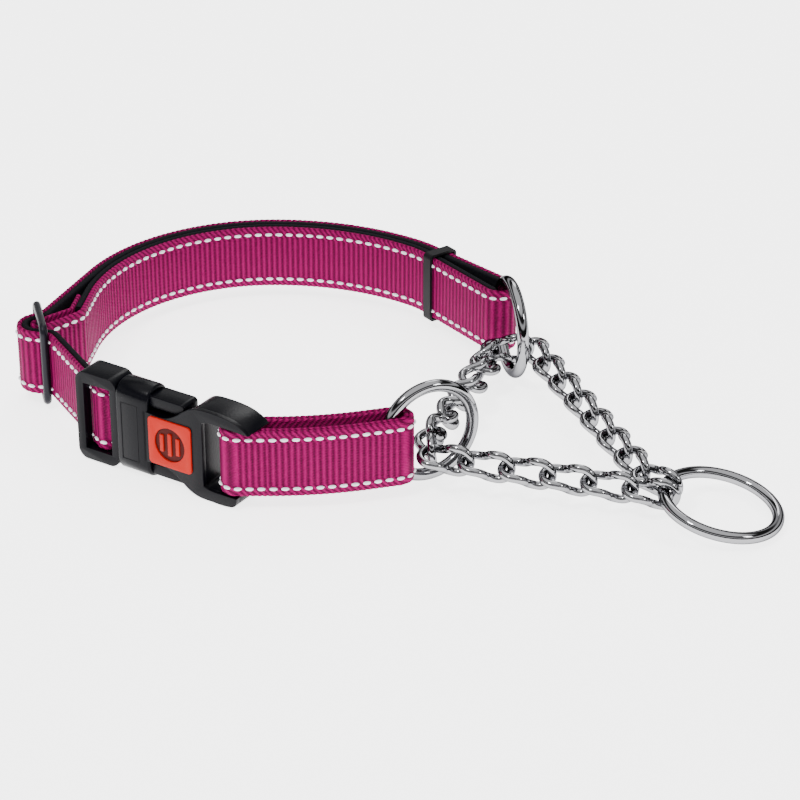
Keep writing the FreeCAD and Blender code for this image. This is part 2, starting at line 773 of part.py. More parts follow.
far_way = unit(-60.0)
near_way = unit(-15.0)
for turn in range(6):
    far_start = through_end + (through_way - far_way) * bend_reach
    near_start = near_hook - (near_way + first_way) * bend_reach
    far_drop = far_start.z - leash_height - last_offset.z
    far_reach = math.sqrt((pitch * (FAR_LINKS - 1) + bend_reach) ** 2 - far_drop**2)
    near_reach = branch_reach(NEAR_LINKS, near_start, leash_height + near_grip.z)
    plan = apex(flat(far_start - last_offset), far_reach, flat(near_start - near_grip), near_reach)
    leash_centre = plan + Vector(0, 0, leash_height)
    far_way = towards(far_start, leash_centre + last_offset)
    near_way = towards(near_start, leash_centre + near_grip)
level_turn = Rotation(leash_line, left_of(leash_line), Vector(0, 0, 1), "XYZ")
leash_place = Placement(leash_centre, leash_turn.multiply(level_turn))
finish("leash_ring", ring("leash_ring", "Sheet.leash_radius", "Sheet.leash_wire", leash_place))


def link_at(label, centre, way, roll):
    """One link about its centre."""
    link(label, centre - way * (pitch / 2), way, roll)


link_at("connecting_link_01", first_centre, first_way, CONNECT_ROLL)
second_roll = CONNECT_ROLL + CONNECT_STEP
for number in range(CONNECT_LINKS - 1):
    centre = connect_start + connect_way * (tip_reach + pitch * number)
    link_at(f"connecting_link_{number + 2:02d}", centre, connect_way, second_roll + CONNECT_STEP * number)
link_at("far_ring_link", through_centre, through_way, ROLL)
for number in range(FAR_LINKS - 1):
    centre = far_start + far_way * (tip_reach + pitch * number)
    link_at(f"far_branch_link_{number + 1:02d}", centre, far_way, ROLL)
last_centre = leash_centre + far_grip - last_way * half_way
link_at(f"far_branch_link_{FAR_LINKS:02d}", last_centre, last_way, ROLL)
for number in range(NEAR_LINKS):
    centre = near_start + near_way * (tip_reach + pitch * number)
    link_at(f"near_branch_link_{number + 1:02d}", centre, near_way, ROLL)

# ---------------------------------------------------------------------------------------------------
# The natural frame: the middle of the collar's footprint is the origin
# ---------------------------------------------------------------------------------------------------

doc.recompute()
for obj in doc.Objects:
    bad = [word for word in obj.State if word in ("Invalid", "Error")]
    if bad:
        raise RuntimeError(f"{obj.Name} failed: {bad}")
box = FreeCAD.BoundBox()
for obj in FINISHED:
    if obj.Shape.isNull() or not obj.Shape.isValid() or not obj.Shape.Solids:
        raise RuntimeError(f"{obj.Label} has no valid solid")
    box.add(obj.Shape.optimalBoundingBox(False, False))
origin = Vector(box.Center.x, box.Center.y, box.ZMin)
os.makedirs("parts", exist_ok=True)
for obj in FINISHED:
    shape = obj.Shape.copy()
    shape.translate(origin * -1)
    shape.exportStep(f"parts/{obj.Label}.step")
    print(obj.Label, round(shape.Volume, 1), len(shape.Solids))
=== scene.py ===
"""Martingale collar: the looks of its webbing, padding, stitching, moulded buckle and chromed chain."""

import math

import bmesh
import bpy
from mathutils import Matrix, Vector


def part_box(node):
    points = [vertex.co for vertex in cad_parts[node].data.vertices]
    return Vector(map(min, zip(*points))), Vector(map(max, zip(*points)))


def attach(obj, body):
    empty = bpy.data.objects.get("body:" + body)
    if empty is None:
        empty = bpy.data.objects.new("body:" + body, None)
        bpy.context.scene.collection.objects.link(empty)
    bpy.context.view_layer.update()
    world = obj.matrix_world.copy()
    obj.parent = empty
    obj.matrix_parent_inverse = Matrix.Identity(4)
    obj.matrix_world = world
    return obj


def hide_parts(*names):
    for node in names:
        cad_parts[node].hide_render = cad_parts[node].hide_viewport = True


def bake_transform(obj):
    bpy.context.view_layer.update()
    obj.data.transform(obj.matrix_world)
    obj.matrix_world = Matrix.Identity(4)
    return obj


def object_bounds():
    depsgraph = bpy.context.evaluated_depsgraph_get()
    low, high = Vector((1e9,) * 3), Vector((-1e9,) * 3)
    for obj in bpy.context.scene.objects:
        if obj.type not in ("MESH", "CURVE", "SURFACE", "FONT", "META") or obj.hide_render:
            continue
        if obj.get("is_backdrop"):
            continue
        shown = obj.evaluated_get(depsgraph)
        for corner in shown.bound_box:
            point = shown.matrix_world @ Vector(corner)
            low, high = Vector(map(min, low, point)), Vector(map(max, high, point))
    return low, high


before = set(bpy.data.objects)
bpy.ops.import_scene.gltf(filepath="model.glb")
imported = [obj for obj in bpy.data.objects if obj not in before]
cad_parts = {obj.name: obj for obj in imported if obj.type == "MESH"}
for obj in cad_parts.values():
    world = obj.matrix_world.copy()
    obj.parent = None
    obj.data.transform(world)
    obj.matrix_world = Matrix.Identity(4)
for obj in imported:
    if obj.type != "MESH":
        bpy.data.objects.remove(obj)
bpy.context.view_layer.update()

MM = 0.001


# ---------------------------------------------------------------------------------------------------
# Webbing of the long strap: magenta nylon with ribs across it, 1.8 mm thick, on the outer side of the
# padding.  It starts as a short flap by the slider, runs once round the neck inside, folds round the
# far ring, comes back outside, passes through the slider and ends round the plug's bar.
# ---------------------------------------------------------------------------------------------------

WIDTH = 25.0
LIFT = 5.0
WEB = 1.8
PAD = 2.4
LAYER_GAP = 0.3
MID = LIFT + WIDTH / 2


def flat(x, y):
    """A plan point in millimetres."""
    return Vector((x, y))


def unit(degrees):
    """The plan direction at an angle from +X."""
    return Vector((math.cos(math.radians(degrees)), math.sin(math.radians(degrees))))


def left_of(direction):
    """The plan direction a quarter turn to the left."""
    return Vector((-direction.y, direction.x))


# Plan layout of the collar, in millimetres, as the CAD lays it out.
NECK = flat(-49.0, 21.3)
NECK_ARC = 67.0
NECK_ARC_RIGHT = 86.8
NECK_ARC_BEND = 31.8
BEND_AT = 52.0
SLIDER = flat(-130.9, 4.0)
SLIDER_LINE = unit(103.0)
SLIDER_PITCH = 11.2
SLIDER_WIRE = 1.5
SLIDER_SLACK = 0.8
GUIDE = flat(-123.6, 17.5)
GUIDE_RADIUS = 6.4
BUCKLE = flat(-84.2, -55.0)
BUCKLE_TURN = -33.0
FAR_FOLD = flat(37.0, 36.0)
NEAR_RING = flat(10.1, -60.5)
NEAR_TURN = 27.4999
RING_RADIUS = 17.0
RING_WIRE = 2.2
RING_LIFT = 1.2
BAR_GAP = 0.3
SLIDER_FLAP_STEP = 10.0
PLUG_FLAP = 13.0
SPLIT_STEP = 3.0

# Stations along the buckle, in millimetres from the mouth's step.
PLUG_END = -31.5
PLUG_RAIL = 3.4
PLUG_WINDOW = 4.2
PLUG_BAR = 1.9
WAIST = 20.0
YOKE = 4.0
YOKE_WINDOW = 4.5
SOCKET_BAR = 2.2
PLUG_BAR_X = PLUG_END + PLUG_RAIL + PLUG_WINDOW + PLUG_BAR
SOCKET_BAR_X = WAIST + YOKE + YOKE_WINDOW + 2 * WEB + SOCKET_BAR

ring_low, ring_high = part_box("near_ring")
ring_middle = (ring_low + ring_high) / 2
SHIFT = Vector(
    (ring_middle.x / MM - NEAR_RING.x, ring_middle.y / MM - NEAR_RING.y, ring_low.z / MM - RING_LIFT)
)


def place(x, y, z):
    """A layout point in millimetres as a scene point in metres."""
    return Vector((x + SHIFT.x, y + SHIFT.y, z + SHIFT.z)) * MM


def tangent_line(first, second):
    """The straight run between two circles; a radius is positive where the path turns left."""
    (centre_a, radius_a), (centre_b, radius_b) = first, second
    between = centre_b - centre_a
    swing = math.degrees(math.asin(max(-1.0, min(1.0, (radius_a - radius_b) / between.length))))
    heading = math.degrees(math.atan2(between.y, between.x)) + swing
    right = left_of(unit(heading)) * -1
    return centre_a + right * radius_a, centre_b + right * radius_b, heading


def belt(circles):
    """The path round a row of circles, as lines and arcs."""
    runs = [tangent_line(a, b) for a, b in zip(circles, circles[1:])]
    path = []
    for number, (start, end, heading) in enumerate(runs):
        if number:
            centre, radius = circles[number]
            before = runs[number - 1][2]
            turn = (heading - before) % 360 if radius > 0 else -((before - heading) % 360)
            path.append(("arc", centre, radius, before, before + turn))
        if (end - start).length > 1e-4:
            path.append(("line", start, end))
    return path


def samples(path, step):
    """Points along a path at about even steps: (point, direction to its left, length so far)."""
    found = []
    so_far = 0.0
    for piece in path:
        if piece[0] == "line":
            _, start, end = piece
            length = (end - start).length
            count = max(1, round(length / step))
            side = left_of((end - start).normalized())
            for number in range(count):
                found.append((start.lerp(end, number / count), side, so_far + length * number / count))
            last = (end, side)
        else:
            _, centre, radius, before, after = piece
            length = abs(math.radians(after - before) * radius)
            count = max(2, round(length / step), round(abs(after - before) / 9))
            for number in range(count):
                side = left_of(unit(before + (after - before) * number / count))
                found.append((centre - side * radius, side, so_far + length * number / count))
            side = left_of(unit(after))
            last = (centre - side * radius, side)
        so_far += length
    found.append((last[0], last[1], so_far))
    return found


double = 2 * PAD + LAYER_GAP
bar = SLIDER_WIRE + BAR_GAP
slider_far = SLIDER + SLIDER_LINE * SLIDER_PITCH
slider_near = SLIDER - SLIDER_LINE * SLIDER_PITCH
over_bar = bar + WEB + SLIDER_SLACK + PAD
under_bar = bar + WEB
along = unit(BUCKLE_TURN)
inward = left_of(along)
plug_bar_at = BUCKLE + along * PLUG_BAR_X
plug_turn = PLUG_BAR + BAR_GAP
right_arc = NECK + Vector((0, NECK_ARC - NECK_ARC_RIGHT))
bend_arc = right_arc + unit(BEND_AT) * (NECK_ARC_RIGHT - NECK_ARC_BEND)
fold_turn = RING_WIRE + BAR_GAP + PAD
inner_circles = [
    (GUIDE, GUIDE_RADIUS),
    (NECK, -NECK_ARC),
    (right_arc, -NECK_ARC_RIGHT),
    (bend_arc, -NECK_ARC_BEND),
]
outer_circles = [
    (bend_arc, NECK_ARC_BEND + double),
    (right_arc, NECK_ARC_RIGHT + double),
    (NECK, NECK_ARC + double),
]
flap_side = PAD + 0.1
flap_run = tangent_line((GUIDE, GUIDE_RADIUS), (NECK, -NECK_ARC))
flap_way = unit(flap_run[2])
flap_start = flap_run[0] + left_of(flap_way) * flap_side + flap_way * SLIDER_FLAP_STEP
plug_run = tangent_line((slider_near, -under_bar), (plug_bar_at, plug_turn))
plug_way = unit(plug_run[2])
flap_end = plug_run[1] + left_of(plug_way) * (PAD + 0.15) - plug_way * PLUG_FLAP
through_slider = [(slider_far, -under_bar), (SLIDER, over_bar), (slider_near, -under_bar)]
webbing_path = belt(
    [(flap_start, 0.0), (GUIDE, -(GUIDE_RADIUS - flap_side)), (SLIDER, bar)]
    + inner_circles
    + [(FAR_FOLD, fold_turn)]
    + outer_circles
    + through_slider
    + [(plug_bar_at, plug_turn), (flap_end, 0.0)]
)
lining_path = belt(
    inner_circles + [(FAR_FOLD, fold_turn)] + outer_circles + through_slider + [(plug_bar_at, plug_turn)]
)
split = len(webbing_path) - 3
run_line = webbing_path[split]
run_way = (run_line[2] - run_line[1]).normalized()
main_end = ("line", run_line[1], run_line[1] + run_way * SPLIT_STEP)
run_start = ("line", run_line[1] + run_way * SPLIT_STEP, run_line[2])
main_path = webbing_path[:split] + [main_end]
run_path = [run_start] + webbing_path[split + 1 :]
lining_main = lining_path[:-1] + [main_end]
lining_run = [("line", run_start[1], run_line[2] - run_way * (PLUG_BAR + BAR_GAP + 2.5))]


def new_object(name, mesh, material):
    """A mesh object in the scene with one material."""
    obj = bpy.data.objects.new(name, mesh)
    bpy.context.scene.collection.objects.link(obj)
    mesh.materials.append(material)
    return obj


EDGE_ROUND = 0.9
EDGE_ZONE = 1.2
SCALLOP = 0.25
ROW_STEP = 0.6
RIB = 2.1


def ribbon(name, path, low, high, material, bottom=LIFT, top=LIFT + WIDTH, closed=False, scallop=0.0):
    """A band on its edge between two offsets of a path, with rounded edges and a UV map in metres."""
    round_off = min(0.45 * (high - low), EDGE_ROUND)
    section = []
    for side, level, first in ((high, bottom, -90), (high, top, 0), (low, top, 90), (low, bottom, 180)):
        centre_h = side - round_off if side == high else side + round_off
        centre_z = level + round_off if level == bottom else level - round_off
        for number in range(4):
            angle = math.radians(first + 30 * number)
            section.append((centre_h + round_off * math.cos(angle), centre_z + round_off * math.sin(angle)))
    mesh = bpy.data.meshes.new(name)
    bm = bmesh.new()
    uv = bm.loops.layers.uv.new("strap")
    rows = []
    lengths = []
    points = samples(path, ROW_STEP)
    if closed:
        total = points[-1][2]
        points = points[:-1]
    for point, side, length in points:
        ripple = scallop * abs(math.sin(math.pi * length / RIB))
        row = []
        for offset, level in section:
            spot = point + side * offset
            rise = 0.0
            if level > top - EDGE_ZONE:
                rise = ripple
            elif level < bottom + EDGE_ZONE:
                rise = -ripple
            sunk = scallop if rise > 0 else 0.0
            row.append(bm.verts.new(place(spot.x, spot.y, level - sunk + rise)))
        rows.append(row)
        lengths.append(length)
    count = len(section)
    pairs = [(k, k + 1) for k in range(len(rows) - 1)]
    if closed:
        pairs.append((len(rows) - 1, 0))
    for here, there in pairs:
        reach = (lengths[here], lengths[there] if there else total)
        for k in range(count):
            n = (k + 1) % count
            face = bm.faces.new((rows[here][k], rows[there][k], rows[there][n], rows[here][n]))
            face.smooth = True
            for loop, (at, edge) in zip(face.loops, ((0, k), (1, k), (1, n), (0, n))):
                loop[uv].uv = (reach[at] * MM, section[edge][1] * MM)
    if not closed:
        for row, flip in ((rows[0], False), (rows[-1], True)):
            bm.faces.new(row if flip else list(reversed(row)))
    bmesh.ops.recalc_face_normals(bm, faces=bm.faces)
    bm.to_mesh(mesh)
    bm.free()
    return new_object(name, mesh, material)


class Number:
    """A shader value that adds, multiplies and bends like a plain number."""

    def __init__(self, nodes, socket):
        self.nodes = nodes
        self.socket = socket

    def math(self, operation, *others, swap=False):
        node = self.nodes.new("ShaderNodeMath")
        node.operation = operation
        inputs = [self, *others]
        if swap:
            inputs.reverse()
        for slot, value in zip(node.inputs, inputs):
            if isinstance(value, Number):
                self.nodes.id_data.links.new(value.socket, slot)
            else:
                slot.default_value = value
        return Number(self.nodes, node.outputs[0])

    def __add__(self, other):
        return self.math("ADD", other)

    __radd__ = __add__

    def __sub__(self, other):
        return self.math("SUBTRACT", other)

    def __rsub__(self, other):
        return self.math("SUBTRACT", other, swap=True)

    def __mul__(self, other):
        return self.math("MULTIPLY", other)

    __rmul__ = __mul__


class Finish:
    """A principled material that is built up from nodes."""

    def __init__(self, name, **settings):
        self.material = bpy.data.materials.new(name)
        self.material.use_nodes = True
        self.nodes = self.material.node_tree.nodes
        self.links = self.material.node_tree.links
        self.shader = self.nodes["Principled BSDF"]
        for slot, value in settings.items():
            self.shader.inputs[slot.replace("_", " ")].default_value = value

    def add(self, kind, settings=None, **sockets):
        """A node of a kind, with its settings and its socket values or links."""
        node = self.nodes.new(kind)
        for key, value in (settings or {}).items():
            setattr(node, key, value)
        for key, value in sockets.items():
            self.feed(node.inputs[key.replace("_", " ")], value)
        return node

    def feed(self, slot, value):
        """Link a value to a socket, or write it there."""
        if isinstance(value, Number):
            value = value.socket
        if isinstance(value, bpy.types.NodeSocket):
            self.links.new(value, slot)
        else:
            slot.default_value = value

    def number(self, socket):
        """A node's output as a Number."""
        return Number(self.nodes, socket)

    def noise(self, scale, detail=2.0):
        """Smooth noise over the object's own coordinates."""
        spot = self.add("ShaderNodeTexCoord").outputs["Object"]
        node = self.add("ShaderNodeTexNoise", Vector=spot, Scale=scale, Detail=detail)
        return self.number(node.outputs["Fac"])

    def bump(self, height, distance):
        """Small relief in the finish, with a depth in metres."""
        node = self.add("ShaderNodeBump", Height=height, Distance=distance, Strength=1.0)
        self.feed(self.shader.inputs["Normal"], node.outputs[0])

    def blend(self, factor, first, second):
        """A colour between two colours."""
        node = self.add("ShaderNodeMix", {"data_type": "RGBA"})
        self.feed(node.inputs[0], factor)
        self.feed(node.inputs[6], first)
        self.feed(node.inputs[7], second)
        return node.outputs[2]


MAGENTA = (0.34, 0.0, 0.11, 1.0)
# The deep magenta is painted shade for the valleys between the ribs and yarns.
MAGENTA_VALLEY_SHADE = (0.022, 0.0, 0.008, 1.0)


YARN = 0.62
BAND_FROM = 8.2


def webbing_finish(name, bright, valley_shade):
    """Nylon webbing: round ribs across the strap, each crossed by fine yarns, and two flat edge bands; the
    valleys between ribs and yarns are painted darker as shade.
    """
    finish = Finish(name, Roughness=0.65, Specular_IOR_Level=0.06)
    uv = finish.add("ShaderNodeUVMap", {"uv_map": "strap"}).outputs[0]
    parts = finish.add("ShaderNodeSeparateXYZ", Vector=uv)
    length, level = finish.number(parts.outputs[0]), finish.number(parts.outputs[1])
    turns = 2 * math.pi / (RIB * MM)
    edge = (level - MID * MM).math("ABSOLUTE").math("GREATER_THAN", BAND_FROM * MM)
    slant = (level * (turns * 0.9)) * edge
    rib = (length * turns + slant).math("COSINE") * 0.5 + 0.5
    yarn = (level * (2 * math.pi / (YARN * MM)) + length * (turns * 1.4)).math("COSINE") * 0.5 + 0.5
    fuzz = finish.noise(1500.0, 3.0)
    height = rib * (1.0 - 0.45 * edge) + yarn * 0.3 + fuzz * 0.25
    # Painted shade: the rib and yarn valleys take the deep magenta, with random tone from the noise on top.
    shade = (rib * 0.62 + yarn * 0.16 + fuzz * 0.42 - 0.06).math("MINIMUM", 1.0).math("MAXIMUM", 0.0)
    finish.feed(finish.shader.inputs["Base Color"], finish.blend(shade, valley_shade, bright))
    finish.bump(height, 0.0006)
    return finish.material


WEBBING = webbing_finish("magenta_webbing", MAGENTA, MAGENTA_VALLEY_SHADE)

long_webbing = ribbon("long_strap_webbing_cloth", main_path, -WEB, 0.0, WEBBING, scallop=SCALLOP)
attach(long_webbing, "collar")
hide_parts("long_strap_webbing")

buckle_webbing = ribbon("buckle_run_webbing_cloth", run_path, -WEB, 0.0, WEBBING, scallop=SCALLOP)
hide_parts("buckle_run_webbing")


# ---------------------------------------------------------------------------------------------------
# Padding of the long strap: 2.4 mm of black neoprene on the webbing's inner side.
# It is a little narrower than the webbing and ends short of the plug.
# ---------------------------------------------------------------------------------------------------

padding_finish = Finish(
    "black_neoprene",
    Base_Color=(0.003, 0.003, 0.005, 1.0),
    Roughness=0.8,
    Specular_IOR_Level=0.12,
)
padding_finish.bump(padding_finish.noise(900.0, 3.0), 0.0003)
padding = padding_finish.material
PAD_INSET = 0.1
PAD_LOW = 0.02
pad_levels = (LIFT + PAD_INSET, LIFT + WIDTH - PAD_INSET)
long_lining = ribbon("long_strap_padding", lining_main, PAD_LOW, PAD, padding, *pad_levels)
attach(long_lining, "collar")
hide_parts("long_strap_lining")

buckle_lining = ribbon("buckle_run_padding", lining_run, PAD_LOW, PAD, padding, *pad_levels)
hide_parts("buckle_run_lining")

# The two ends of the run to the plug, as scene points; the run's webbing and padding are baked in place.
run_first = place(run_start[1].x, run_start[1].y, MID)
run_last = place(run_line[2].x, run_line[2].y, MID)
for band in (buckle_webbing, buckle_lining):
    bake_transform(band)


# ---------------------------------------------------------------------------------------------------
# Short strap: two plies of the same webbing, sewn together, in a closed loop from the socket's bar to
# the near ring, bowed a little outwards.
# ---------------------------------------------------------------------------------------------------

SHORT_STRAP_TIP = 10.0
SHORT_STRAP_BOW = 126.0
PLY_SPACE = 0.05
BOW_NIP = 0.4

socket_bar_at = BUCKLE + along * SOCKET_BAR_X
near_along = unit(NEAR_TURN)
fold_at = NEAR_RING - near_along * RING_RADIUS + near_along * (SHORT_STRAP_TIP - RING_WIRE - 2 * WEB)
loop_turn = SOCKET_BAR + BAR_GAP
chord_side = left_of((fold_at - socket_bar_at).normalized())
bow_centre = (fold_at + socket_bar_at) * 0.5 + chord_side * SHORT_STRAP_BOW
bow_radius = (bow_centre - socket_bar_at).length
short_circles = [
    (socket_bar_at, loop_turn),
    (bow_centre, bow_radius + loop_turn - BOW_NIP),
    (fold_at, loop_turn),
    (bow_centre, -(bow_radius - loop_turn - BOW_NIP)),
]
short_path = belt(short_circles + short_circles[:2])[1:]

for label, low, high in (
    ("backing", -WEB, 0.0),
    ("facing", -2 * WEB - PLY_SPACE, -WEB - PLY_SPACE),
):
    ply = ribbon(f"short_strap_{label}_cloth", short_path, low, high, WEBBING, closed=True, scallop=SCALLOP)
    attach(ply, "collar")
    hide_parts(f"short_strap_{label}")


# ---------------------------------------------------------------------------------------------------
# Stitching: two rows of thick white thread along both straps, each stitch lying on the webbing.
# ---------------------------------------------------------------------------------------------------

thread_finish = Finish("white_thread", Base_Color=(0.86, 0.86, 0.9, 1.0), Roughness=0.75)
thread_finish.bump(thread_finish.noise(2500.0, 2.0), 0.0001)


def stitch_group():
    """A node group that lays one stitch at every step along a curve."""
    group = bpy.data.node_groups.new("stitch_row", "GeometryNodeTree")
    for name, kind, value in (
        ("Line", "NodeSocketGeometry", None),
        ("Step", "NodeSocketFloat", 0.0038),
        ("Length", "NodeSocketFloat", 0.0027),
        ("Thickness", "NodeSocketFloat", 0.0011),
        ("Thread", "NodeSocketMaterial", None),
    ):
        socket = group.interface.new_socket(name, in_out="INPUT", socket_type=kind)
        if value is not None:
            socket.default_value = value
    group.interface.new_socket("Stitches", in_out="OUTPUT", socket_type="NodeSocketGeometry")

    def add(kind, settings=None, **links):
        node = group.nodes.new(kind)
        for key, value in (settings or {}).items():
            setattr(node, key, value)
        for key, value in links.items():
            slot = node.inputs[key.replace("_", " ")]
            if isinstance(value, bpy.types.NodeSocket):
                group.links.new(value, slot)
            else:
                slot.default_value = value
        return node

    given = group.nodes.new("NodeGroupInput").outputs
    result = group.nodes.new("NodeGroupOutput")
    points = add("GeometryNodeCurveToPoints", {"mode": "LENGTH"}, Curve=given["Line"], Length=given["Step"])
    size = add("ShaderNodeCombineXYZ", X=given["Thickness"], Y=given["Thickness"], Z=given["Length"])
    ball = add("GeometryNodeMeshUVSphere", Segments=8, Rings=6, Radius=0.5)
    laid = add(
        "GeometryNodeInstanceOnPoints",
        Points=points.outputs["Points"],
        Instance=ball.outputs["Mesh"],
        Rotation=points.outputs["Rotation"],
        Scale=size.outputs[0],
    )
    real = add("GeometryNodeRealizeInstances", Geometry=laid.outputs[0])
    smooth = add("GeometryNodeSetShadeSmooth", Geometry=real.outputs[0])
    painted = add("GeometryNodeSetMaterial", Geometry=smooth.outputs[0], Material=given["Thread"])
    group.links.new(painted.outputs[0], result.inputs[0])
    return group


STITCHES = stitch_group()
STITCH_PITCH = 4.0
STITCH_LENGTH = 2.8
STITCH_THICKNESS = 1.3
STITCH_TRIM = 2.0


def stitches(name, path, offset, levels):
    """Rows of stitches along a path, at an offset to its left and at some heights."""
    curve = bpy.data.curves.new(name + "_lines", "CURVE")
    curve.dimensions = "3D"
    points = samples(path, 1.0)
    total = points[-1][2]
    kept = [(p, s) for p, s, length in points if STITCH_TRIM <= length <= total - STITCH_TRIM]
    for level in levels:
        spline = curve.splines.new("POLY")
        spline.points.add(len(kept) - 1)
        for spot, (point, side) in zip(spline.points, kept):
            at = point + side * offset
            spot.co = (*place(at.x, at.y, level), 1.0)
    lines = bpy.data.objects.new(name + "_lines", curve)
    bpy.context.scene.collection.objects.link(lines)
    modifier = lines.modifiers.new("stitch_row", "NODES")
    modifier.node_group = STITCHES
    names = {item.name: item.identifier for item in STITCHES.interface.items_tree if item.in_out == "INPUT"}
    modifier[names["Step"]] = STITCH_PITCH * MM
    modifier[names["Length"]] = STITCH_LENGTH * MM
    modifier[names["Thickness"]] = STITCH_THICKNESS * MM
    modifier[names["Thread"]] = thread_finish.material
    graph = bpy.context.evaluated_depsgraph_get()
    mesh = bpy.data.meshes.new_from_object(lines.evaluated_get(graph), depsgraph=graph)
    mesh.name = name
    bpy.data.objects.remove(lines)
    obj = bpy.data.objects.new(name, mesh)
    bpy.context.scene.collection.objects.link(obj)
    return obj


ROW_INSET = 3.0
SINK = 0.1
ROWS = (LIFT + ROW_INSET, LIFT + WIDTH - ROW_INSET)
long_thread = stitches("long_strap_stitches", main_path, -WEB - SINK, ROWS)
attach(long_thread, "collar")
buckle_thread = stitches("buckle_run_stitches", run_path, -WEB - SINK, ROWS)
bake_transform(buckle_thread)
short_thread = stitches("short_strap_stitches", short_path, -2 * WEB - PLY_SPACE - SINK, ROWS)
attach(short_thread, "collar")


# ---------------------------------------------------------------------------------------------------
# Buckle: black acetal mouldings with small rounded edges, and the red-orange lock.
# ---------------------------------------------------------------------------------------------------

plastic_finish = Finish(
    "black_acetal",
    Base_Color=(0.0012, 0.0012, 0.0026, 1.0),
    Roughness=0.3,
    Specular_IOR_Level=0.09,
)
plastic_finish.bump(plastic_finish.noise(1500.0, 2.0), 0.00004)
lock_finish = Finish(
    "red_orange_plastic",
    Base_Color=(0.38, 0.008, 0.003, 1.0),
    Roughness=0.42,
    Specular_IOR_Level=0.08,
)
lock_finish.bump(lock_finish.noise(1500.0, 2.0), 0.00003)


def moulded(node, body, material, width):
    """A moulding with the CAD node's shape and small rounded edges."""
    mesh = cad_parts[node].data.copy()
    bm = bmesh.new()
    bm.from_mesh(mesh)
    bmesh.ops.remove_doubles(bm, verts=bm.verts, dist=1e-6)
    bmesh.ops.dissolve_limit(bm, angle_limit=math.radians(2), verts=bm.verts, edges=bm.edges)
    bm.to_mesh(mesh)
    bm.free()
    mesh.materials.clear()
    obj = new_object(node + "_moulding", mesh, material)
    bevel = obj.modifiers.new("edges", "BEVEL")
    bevel.width = width
    bevel.segments = 3
    bevel.limit_method = "ANGLE"
    bevel.angle_limit = math.radians(40)
    graph = bpy.context.evaluated_depsgraph_get()
    made = bpy.data.meshes.new_from_object(obj.evaluated_get(graph), depsgraph=graph)
    obj.modifiers.clear()
    obj.data = made
    made.shade_smooth()
    made.set_sharp_from_angle(angle=math.radians(38))
    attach(obj, body)
    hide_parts(node)
    return obj


def buckle_point(x, y, z):
    """A point of the buckle's own frame, in millimetres from the mouth's step, in the scene."""
    spot = BUCKLE + along * x + inward * y
    return place(spot.x, spot.y, MID + z)


def smooth_line(points, steps=5):
    """A Catmull-Rom line through points; one written twice stays a sharp corner."""
    line = []
    for k in range(1, len(points) - 2):
        before, start, end, after = (Vector(p) for p in points[k - 1 : k + 3])
        if (end - start).length < 1e-6:
            continue
        for n in range(steps):
            t = n / steps
            cubic = (3 * (start - end) + after - before) * t**3
            square = (2 * before - 5 * start + 4 * end - after) * t**2
            line.append(0.5 * (2 * start + (end - before) * t + square + cubic))
    line.append(Vector(points[-2]))
    return line


def plate(name, outline, front, back, rim, material):
    """A plate with an outline in the buckle's X and Z, between two depths, with rounded rims."""
    mesh = bpy.data.meshes.new(name)
    bm = bmesh.new()
    sides = []
    for depth in (front, back):
        sides.append([bm.verts.new(buckle_point(p.x, depth, p.y)) for p in outline])
    bm.faces.new(sides[0])
    bm.faces.new(list(reversed(sides[1])))
    for k in range(len(outline)):
        n = (k + 1) % len(outline)
        bm.faces.new((sides[0][k], sides[1][k], sides[1][n], sides[0][n]))
    bmesh.ops.recalc_face_normals(bm, faces=bm.faces)
    rims = [edge for edge in bm.edges if {len(face.verts) for face in edge.link_faces} != {4}]
    bmesh.ops.bevel(
        bm, geom=rims, offset=rim * MM, segments=4, profile=0.5, affect="EDGES", clamp_overlap=True
    )
    bm.to_mesh(mesh)
    bm.free()
    mesh.shade_smooth()
    mesh.set_sharp_from_angle(angle=math.radians(42))
    return new_object(name, mesh, material)


# The socket's outline: a waist that carries the lock, shoulders that swell to the buckle's full height
# and two arms round the short strap, the upper one ending in a long hook.
TOP = [
    (-1.5, 9.9), (1.5, 9.7), (5.0, 9.4), (9.0, 9.9), (13.0, 12.0), (17.5, 15.4), (22.0, 17.1), (27.0, 17.4),
]
HOOK = [(32.0, 17.2), (37.0, 16.4), (41.0, 14.7), (43.4, 12.9), (43.4, 12.9), (37.0, 13.1), (28.0, 13.2)]
SLOT = [(24.6, 12.6), (23.8, 11.0), (23.8, 0.0), (23.8, -11.0), (24.6, -12.6), (28.0, -13.2)]
FOOT = [(35.0, -13.2), (37.8, -13.2), (37.8, -13.2), (36.8, -16.4), (33.0, -17.4), (27.0, -17.4)]
BELOW = [
    (22.0, -17.2), (17.5, -15.6), (13.0, -12.2), (9.0, -10.1), (5.0, -9.6), (1.5, -9.7), (-1.5, -9.9),
]
# Behind the front wall the waist keeps clear of the prongs, and its shoulders rise later.
CORE_TOP = [
    (-1.5, 9.8), (5.0, 9.4), (12.0, 9.4), (15.6, 9.7),
    (17.0, 12.2), (18.6, 15.4), (22.0, 17.1), (27.0, 17.4),
]
CORE_BELOW = [(x, -z) for x, z in reversed(CORE_TOP[:-1])]
black = plastic_finish.material
socket_parts = []
for label, top, below, front, back, rim in (
    ("wall", TOP, BELOW, -6.2, -4.3, 0.85),
    ("core", CORE_TOP, CORE_BELOW, -4.5, 6.2, 0.9),
):
    rim_line = top + HOOK + SLOT + FOOT + below
    outline = smooth_line([rim_line[0]] + rim_line + [rim_line[-1]])
    socket_parts.append(plate(f"buckle_socket_{label}", outline, front, back, rim, black))


